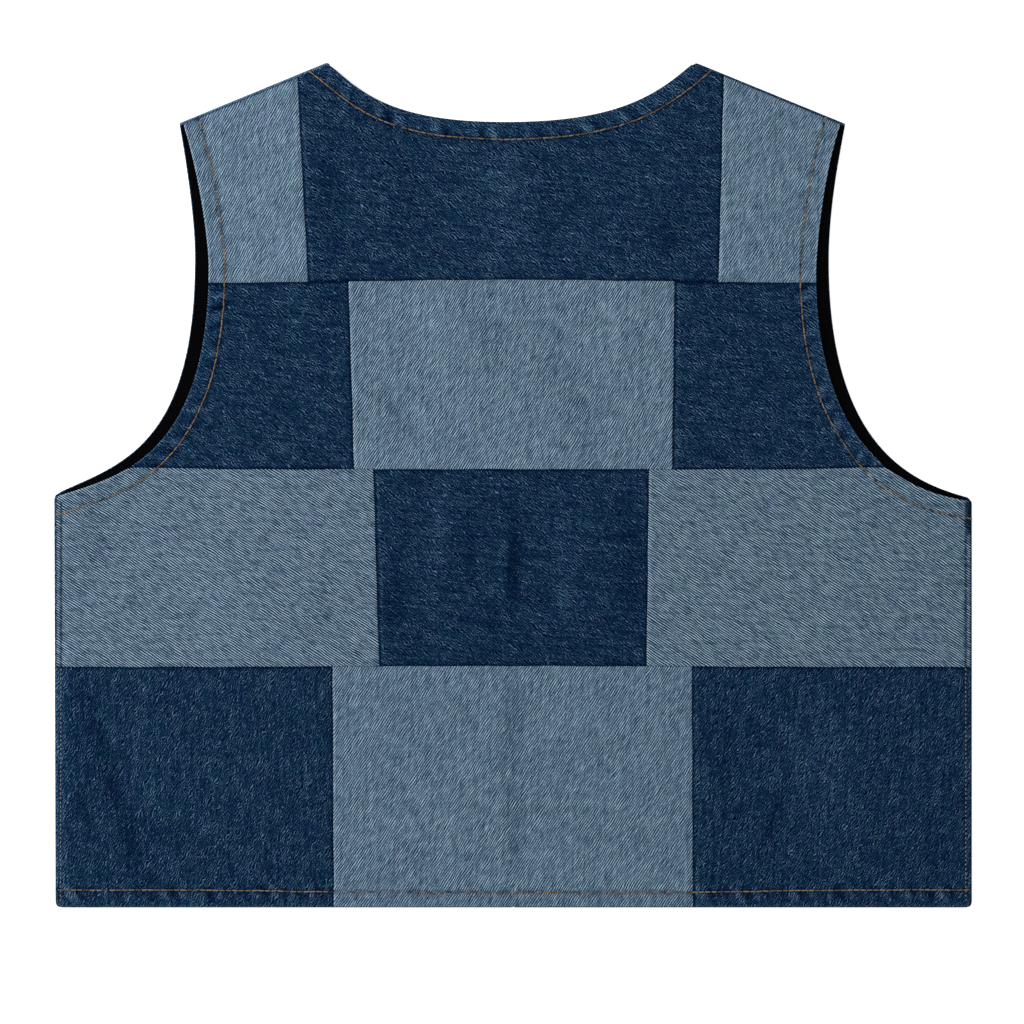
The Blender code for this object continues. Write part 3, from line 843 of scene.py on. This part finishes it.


# Form of the laid back. It lies level on the lining, comes down to the fronts along side and shoulder seams,
# sinks inside the fronts' neckline and is thicker on its turned bands. Creases, stitch grooves and puckers
# are added. marks holds how much of each groove, band, rope and side strip there is at a point, for the wear
# and the painted light and shade.
def backForm(points):
    crease, creaseWearAndShading = creaseRise(points)
    sideways = {side: offLine(points, backRuns["side" + side]) for side in ("Left", "Right")}
    shoulders = np.minimum(*(offLine(points, backRuns["shoulder" + side]) for side in ("Left", "Right")))
    opening = np.concatenate([frontRuns["Left"]["neck"][::-1], frontRuns["Right"]["neck"][::-1]])
    low = sag["depth"] * smooth(
        np.minimum(*(offLine(points, frontRuns[side]["neck"]) for side in frontRuns)) / sag["run"]
    )
    sunk = np.where(inside(points, opening), low, 0.0)
    joined = np.minimum(
        smooth(np.minimum(*sideways.values()) / joins["sideRun"]), smooth(shoulders / joins["shoulderRun"])
    )
    lift = crease - joins["fall"] * (1 - joined)
    marks = {key: np.zeros(len(points)) for key in ("groove", "sideGroove", "pucker")}
    for shift, name in enumerate(("hem", "neck", "armholeLeft", "armholeRight")):
        away, along = nearLine(points, backRuns[name])
        marks["band" + name[0].upper() + name[1:]] = 1 - smooth((away - bands["width"]) / bands["step"])
        marks["groove"] += bell(offLine(points, sewn[name]), bands["grooveHalf"])
        onBand = np.sin(np.pi * np.clip(away / (bands["puckerReach"] * bands["width"]), 0.0, 1.0)) ** 2
        ropes = uneven(along + bands["puckerSlant"] * away, bands["puckerLength"], 1.3 + shift)
        swell = (1 - bands["puckerEven"]) * uneven(along, bands["puckerSwell"], 0.7 + shift)
        marks["pucker"] += onBand * ropes * (bands["puckerEven"] + swell)
    for side, away in sideways.items():
        marks["sideGroove"] += bell(offLine(points, sewn["side" + side]), joins["grooveHalf"])
        marks["rub" + side] = 1 - smooth(away / joins["rubRun"])
    band = np.max([marks[key] for key in marks if key.startswith("band")], axis=0)
    top = layers["back"] + layers["denim"] + lift - sunk
    top = top + bands["rise"] * band + bands["pucker"] * marks["pucker"]
    top = top - bands["groove"] * marks["groove"] - joins["groove"] * marks["sideGroove"]
    under = layers["back"] + lift - bands["hemTurn"] * marks["bandHem"]
    under = np.maximum(under, layers["backLowest"]) - sunk
    return {"top": top, "under": under, "creaseWearAndShading": creaseWearAndShading, "marks": marks}


# Turned edge: a quarter of an ellipse, level at edgeRound from the edge and edgeDrop down at it.
def edgeTurn(away):
    t = 1 - np.clip(away / layers["edgeRound"], 0.0, 1.0)
    return layers["edgeDrop"] * (1 - np.sqrt(np.maximum(1 - t * t, 0.0)))


seamLook = {
    "roll": 0.3, "rollRun": 3.0,  # the cloth rolls down to a seam
    "proud": 0.15, "proudRun": 7.0,  # light patches stand a little over dark ones
    "dark": -0.28, "darkRun": 1.1,  # painted shadow beside a seam on dark cloth, where the light patch stands over it
    "rub": 0.15, "rubRun": 1.3,  # painted highlight on the left edge of a light patch, lit from the left
    "ridge": 0.1, "ridgeRise": 0.1,  # painted highlight and height of the ridge beside a patch's left seam, lit from the left
    "ridgeIn": 2.2, "ridgeHalf": 1.1,
}
edgeLook = {  # wear and painted light at each turned edge, on light and on dark cloth, and how far in it reaches
    "hem": (0.02, 0.10, 1.2),
    "neck": (0.0, 0.07, 1.6),
    # armholes worn pale at the fold, the left one more as a painted highlight from the light on the left
    "armholeLeft": (0.3, 0.22, 0.9),
    "armholeRight": (0.2, 0.14, 0.9),
    # shoulders and sides: painted shadow of the back's fold edge on light cloth, paler on dark
    "shoulderLeft": (-0.28, 0.12, 0.4),
    "shoulderRight": (-0.2, 0.05, 0.4),
    "sideLeft": (-0.35, 0.05, 0.5),
    "sideRight": (-0.15, 0.05, 0.8),
}
underarmShade = {"wearAndShading": -0.7, "wide": 2.2, "long": 15.0, "fade": 6.0}  # painted shade where the dark front rolls round the start of the right side seam
patches = {}


# Patch of the back: the grid between its four lines, on the back's form, rolled down to its seams and its
# turned edges. Its wear, with painted shade and highlights, is the sum of what creases, seams, stitching,
# bands and edges give.
def makePatch(row, column, lines):
    cloth, grain, tone, contrast = row["patches"][column]
    name = f"back_{row['name']}_{column}"
    plan = gridBetween(**lines)
    points = plan.reshape(-1, 2)
    form = backForm(points)
    fold, seam = offLine(points, backOutline), offSeams(points) - seamGap / 2
    turn = edgeTurn(np.minimum(fold, seam))
    s = seamLook
    proud = s["proud"] * (1 - smooth(seam / s["proudRun"])) if cloth == "light" else 0.0
    leftSeam = np.full(len(points), farAway) if column == "left" else offLine(points, lines["left"])
    ridge = bell(leftSeam - s["ridgeIn"], s["ridgeHalf"])
    top = form["top"] - turn - s["roll"] * (1 - smooth(seam / s["rollRun"])) + proud + s["ridgeRise"] * ridge
    thickest = layers["denim"] + bands["rise"] + bands["hemTurn"]
    under = np.maximum(form["under"], form["top"] - thickest) + turn
    top = np.maximum(top, under + layers["thinnest"])
    if cloth == "light":
        # painted highlight along the light patch's left seam, where the light from the left falls on it
        wearAndShading = form["creaseWearAndShading"] + s["rub"] * bell(leftSeam, s["rubRun"])
    else:
        # painted shadow beside its seams, where the light patch stands over them, and a painted highlight on
        # the ridge by its left seam
        wearAndShading = form["creaseWearAndShading"] + s["dark"] * bell(seam, s["darkRun"]) + s["ridge"] * ridge
    kind = cloths.index(cloth)
    for mark, amount in form["marks"].items():
        wearAndShading += wearAndShadingOf[mark][kind] * amount
    for edge, line in backRuns.items():
        *wears, run = edgeLook[edge]
        wearAndShading += wears[kind] * bell(offLine(points, line), run)
    # painted shade on the light patch beside the right side seam under the armhole
    u = underarmShade  # whole to half its width, gone at one and a half
    down = armholes["backRight"]["under"][1] - points[:, 1]
    strip = 1 - smooth(offLine(points, backRuns["sideRight"]) / u["wide"] - 0.5)
    wearAndShading += u["wearAndShading"] * strip * (1 - smooth((down - u["long"]) / u["fade"]))
    material = denimMaterial(f"{row['name']} {column}", cloth, grain, tone, contrast)
    piece = shell(name + "_cloth", plan, top, under, material)
    addAttribute(piece, "wearAndShading", np.concatenate([wearAndShading, wearAndShading]))
    patches[name] = (piece, plan, cloth)


# Lines round a patch: a seam half a gap away, or the back's outline. Beside the underarm a waist patch has
# the start of the armhole in its top line.
def patchLines(number, column):
    row = patchRows[number]
    half = seamGap / 2
    lines = {
        "bottom": rowSeam(patchRows[number - 1], half) if number else backSides["bottom"],
        "top": backSides["top"] if row is patchRows[-1] else rowSeam(row, -half),
        "left": columnSeam(row, "left" if column == "centre" else "right", half),
        "right": columnSeam(row, "right" if column == "centre" else "left", -half),
    }
    if column == "centre":
        return lines
    outer = backSides[column]
    if row["name"] == "waist":
        under = np.array(armholes["back" + column.capitalize()]["under"])
        split = np.argmin(norm(outer - under, axis=1))
        seamY = row["high"] - half
        arm = outer[split:]
        arm = np.concatenate([arm[arm[:, 1] < seamY], [(xOn(outer, seamY), seamY)]])
        outer = outer[:split + 1]
        inner = lines["top"][np.abs(lines["top"][:, 0]) < abs(arm[-1, 0])]
        lines["top"] = np.concatenate([arm, inner] if column == "left" else [inner, arm[::-1]])
    lines[column] = outer
    return lines


for number, row in enumerate(patchRows):
    for column in ("left", "centre", "right"):
        makePatch(row, column, patchLines(number, column))
print("gilet: twelve back patches made")

frontLook = {
    "grain": 62.0, "tone": 0.0, "contrast": 1.0,
    "inset": 9.7, "stop": 2.0,  # its stitching
    "groove": 0.5, "grooveHalf": 1.8, "grooveShade": -0.25,  # the cloth drawn up along it, and painted shade in that groove
    "thread": 0.38, "shade": 0.6,  # height and shade of its thread
    "rim": {"Left": 0.25, "Right": -0.15}, "rimRun": 0.9,  # painted highlight at the left rim and painted shade at the right one, lit from the left
    # paler towards the shoulder, more on the left
    "shoulder": {"Left": 0.46, "Right": 0.25}, "shoulderRun": 1.8,
}
liningInset = {"hem": 12.0, "front": 12.0, "neck": 12.0, "shoulder": 1.6, "side": 1.5, "armhole": 0.55}
liningSlack = {"height": 0.12, "lean": 0.3, "across": 83.0, "along": 131.0}  # its long soft waves
liningPress = {"run": 6.0, "height": 1.24, "thick": 0.22}  # pressed flat beside the side and shoulder seams
frontMaterial = denimMaterial("fronts", "dark", frontLook["grain"], frontLook["tone"], frontLook["contrast"])
blackLining = liningMaterial()
fronts, linings = {}, {}


# Stitching lines of a front: a band's width in from hem, armhole, neck and centre edge, each a point every mm
# and ended a stop short of the other edges.
def frontStitchLines(side):
    runs, sign = frontRuns[side], signs[side]
    width, stop = frontLook["inset"], frontLook["stop"]
    lines = {}
    for name in ("hem", "armhole", "neck", "front"):
        line = movedLeft(trimmed(runs[name], 0.0, 0.0), width)
        line = placesAt(line, np.arange(0.0, lengths(line)[-1], 1.0))
        others = np.min([offLine(line, runs[k]) for k in runs if k != name and k != "side"], axis=0)
        lines[name] = line[(others > stop) & (sign * line[:, 0] > middleGap + stop)]
    return lines


# Front: flat on the table with its stitching drawn up into its outer face, and level on top.
def makeFront(side):
    plan = gridBetween(**frontSides[side], step=2.6, nearStep=1.1)
    points = plan.reshape(-1, 2)
    fold = offLine(points, aroundSides(frontSides[side]))
    turn = edgeTurn(fold)
    stitch = np.min([offLine(points, line) for line in frontStitchLines(side).values()], axis=0)
    drawn = frontLook["groove"] * bell(stitch, frontLook["grooveHalf"])
    under = layers["front"] + turn + drawn
    top = np.maximum(layers["front"] + layers["denim"] - turn, under + layers["thinnest"])
    # painted highlight and painted shade at the rims, and paler at the shoulder
    wearAndShading = frontLook["rim"][side] * bell(fold, frontLook["rimRun"])
    atShoulder = 1 - smooth(offLine(points, frontRuns[side]["shoulder"]) / frontLook["shoulderRun"])
    wearAndShading += frontLook["shoulder"][side] * np.sqrt(atShoulder)
    piece = shell(f"front_{side.lower()}_cloth", plan, top, under, frontMaterial)
    # painted shade in the stitching's groove on the under face
    underWearAndShading = wearAndShading + frontLook["grooveShade"] * drawn / frontLook["groove"]
    addAttribute(piece, "wearAndShading", np.concatenate([wearAndShading, underWearAndShading]))
    fronts[side] = (piece, plan)


# Lining of a front: the front's lines moved in by each edge's inset, with long slack waves.
def makeLining(side):
    runs, sign = frontRuns[side], signs[side]
    moved = {k: movedLeft(trimmed(line, 0.0, 0.0), liningInset[k]) for k, line in runs.items()}
    upwards = {k: line if line[-1, 1] > line[0, 1] else line[::-1] for k, line in moved.items()}
    y = np.linspace(liningInset["hem"], layers["length"], 400)
    outer = xOn(upwards["armhole"], y)
    outer = np.where(y < upwards["armhole"][0, 1], sign * farAway, outer)
    limit = layers["halfWidth"] - liningInset["side"]
    outer = np.stack([np.clip(outer, -limit, limit), y], axis=1)
    inner = np.where(y < upwards["neck"][0, 1], 0.0, xOn(upwards["neck"], y))
    inner = sign * np.maximum(np.abs(inner), liningInset["front"] + middleGap)
    inner = np.stack([inner, y], axis=1)
    shoulder = moved["shoulder"]
    shoulder = shoulder if shoulder[0, 0] < shoulder[-1, 0] else shoulder[::-1]
    more = 30.0  # on past both side lines, so that they meet
    shoulder = runOn(shoulder, more, more)
    reach = seamWave["reach"]
    bottom = straight((-reach, liningInset["hem"]), (reach, liningInset["hem"]))
    left, right = (outer, inner) if side == "Left" else (inner, outer)
    plan = gridBetween(bottom, right, shoulder, left, step=4.0, nearStep=2.0)
    points = plan.reshape(-1, 2)
    k = liningSlack
    slack = k["height"] * uneven(points[:, 0] + k["lean"] * points[:, 1], k["across"], 0.4)
    slack = slack * uneven(points[:, 1], k["along"], 1.9)
    atShoulder = offLine(points, moved["shoulder"])
    loose = smooth(np.minimum(limit - np.abs(points[:, 0]), atShoulder) / liningPress["run"])
    risen = layers["lining"] - liningPress["height"] + np.maximum(slack, 0.0)
    under = liningPress["height"] + risen * loose
    top = under + liningPress["thick"] + (layers["liningThick"] - liningPress["thick"]) * loose
    name = f"lining_front_{side.lower()}"
    piece = shell(name + "_cloth", plan, top, under, blackLining)
    linings[side] = (piece, plan)


for side in ("Left", "Right"):
    makeFront(side)
    makeLining(side)
print("gilet: fronts and linings made")

stitchLook = {  # shades run from 0, near black, to 1, grey
    "band": {
        "pitch": 3.65, "long": 3.75, "wide": 0.82, "thick": 0.44, "arch": 0.14,
        "shade": (0.36, 0.5),  # browner on light cloth, brighter on dark
    },
    "side": {
        "pitch": 2.5, "long": 1.7, "wide": 0.7, "thick": 0.36, "arch": 0.08,
        "shade": (-0.35, 1.25),  # near black on light cloth as painted shade of its groove, rubbed pale on dark
    },
    "sink": 0.03, "dive": 0.24,  # into the cloth, all along and at both ends
    "taper": 0.9, "endPower": 6,  # how thin the ends are, and how suddenly
    "twist": 1.3,  # mm along the thread for one turn of its plies
    "jitter": 0.12, "slide": 0.6,  # stray sideways, and the share of it along the line
    "longSpread": 0.06, "shadeSpread": 0.19,
    "aim": 0.4,  # mm each way along the line, for a stitch's direction
    "overTable": 0.02,
}
ringPlaces = np.array([-1.0, -0.9, -0.6, 0.0, 0.6, 0.9, 1.0])  # along a stitch, from its middle
tubeSides = 8
thread = threadMaterial()
luck = np.random.default_rng(11)


# Row of stitches: a rounded tube of thread for each, thin at its ends and arched in the middle, laid end to
# end along a line. Rings run along each tube, and heightAt gives the height of the cloth under every ring.
# facing is 1 on top and -1 on an under face.
def stitchRow(name, line, heightAt, shades, facing=1.0, kind="band"):
    s = {**stitchLook, **stitchLook[kind]}
    total = lengths(line)[-1]
    count = max(1, int(total / s["pitch"]))
    middles = (np.arange(count) + 0.5) * total / count + luck.normal(0.0, s["jitter"], count) * s["slide"]
    longs = s["long"] * (1 + luck.normal(0.0, s["longSpread"], count))
    t = ringPlaces
    around = np.arange(tubeSides) * fullTurn / tubeSides
    along = middles[:, None] + t * longs[:, None] / 2
    places = placesAt(line, along)
    way = placesAt(line, along + s["aim"]) - placesAt(line, along - s["aim"])
    way /= np.maximum(norm(way, axis=-1, keepdims=True), tiny)
    sideways = np.stack([-way[..., 1], way[..., 0]], axis=-1)
    lean = luck.normal(0.0, s["jitter"], count)[:, None] * t
    places = places + sideways * lean[..., None]
    thin = (1 - s["taper"] * t ** s["endPower"]) ** 0.5
    arch = s["arch"] * (1 - t ** 2) - s["sink"]
    base = heightAt(places.reshape(-1, 2)).reshape(count, len(t))
    centre = base + facing * (arch - s["dive"] * np.abs(t) ** s["endPower"])
    out = thin[:, None] * np.cos(around) * s["wide"] / 2
    plan = places[:, :, None] + sideways[:, :, None] * out[..., None]
    height = centre[..., None] + facing * thin[:, None] * np.sin(around) * s["thick"] / 2
    if facing < 0:
        height = np.maximum(height, s["overTable"])
    rings, sides = len(t), len(around)
    index = np.arange(rings * sides).reshape(rings, sides)
    nextOn = np.roll(index, -1, axis=1)
    tube = np.stack([index[:-1], index[1:], nextOn[1:], nextOn[:-1]], axis=-1).reshape(-1, 4)
    cap = np.array([(0, 1, 2, 3), (0, 3, 4, 7), (7, 4, 5, 6)])  # closes a ring of eight
    quads = np.concatenate([tube, cap, cap[:, ::-1] + (rings - 1) * sides])
    quads = quads if facing < 0 else quads[:, ::-1]
    every = (quads + (np.arange(count) * rings * sides)[:, None, None]).reshape(-1, 4)
    piece = quadMesh(name, toWorld(plan, height).reshape(-1, 3), every, thread)
    shade = shades(placesAt(line, middles)) + luck.normal(0.0, s["shadeSpread"], count)
    shade = np.clip(shade, 0.0, 1.0)
    addAttribute(piece, "shade", np.repeat(shade, rings * sides))
    ply = fullTurn * s["long"] / s["twist"] * t[:, None] / 2 + 2 * around
    addAttribute(piece, "ply", np.tile(ply.ravel(), count))
    return piece


def clothAt(points):  # which cloth of the back lies at each point, True where it is light
    light = np.zeros(len(points), bool)
    for row in patchRows:
        inRow = (points[:, 1] >= row["low"]) & ((points[:, 1] < row["high"]) | (row is patchRows[-1]))
        seams = [xOn(columnSeam(row, side, 0.0), points[:, 1]) for side in ("left", "right")]
        column = (points[:, 0] > seams[0]).astype(int) + (points[:, 0] > seams[1])
        isLight = np.array([row["patches"][k][0] == "light" for k in ("left", "centre", "right")])
        light = np.where(inRow, isLight[column], light)
    return light


def backTop(points):  # height of the back's outer face
    return backForm(points)["top"]


def backShade(kind):  # gives the shade of a kind of stitch by the cloth at each point
    return lambda points: np.where(clothAt(points), *stitchLook[kind]["shade"])


for edge, line in sewn.items():
    name = "stitching_" + edge.replace("Left", "_left").replace("Right", "_right")
    kind = "side" if edge.startswith("side") else "band"
    stitchRow(name, line, backTop, backShade(kind), kind=kind)


def frontUnder(points):  # height of the thread under a front
    return np.full(len(points), frontLook["thread"])


def frontShade(points):  # the same shade all along
    return np.full(len(points), frontLook["shade"])


frontStitching = {"Left": [], "Right": []}
for side in frontStitching:
    for edge, line in frontStitchLines(side).items():
        name = f"stitching_front_{side.lower()}_{edge}"
        row = stitchRow(name, line, frontUnder, frontShade, facing=-1.0)
        frontStitching[side].append(row)
print("gilet: stitching laid")

for name, (piece, plan, cloth) in patches.items():
    declareCloth(name)
for side in ("Left", "Right"):
    piece, plan = fronts[side]
    declareCloth(f"front_{side.lower()}")
    piece, plan = linings[side]
    declareCloth(f"lining_front_{side.lower()}")
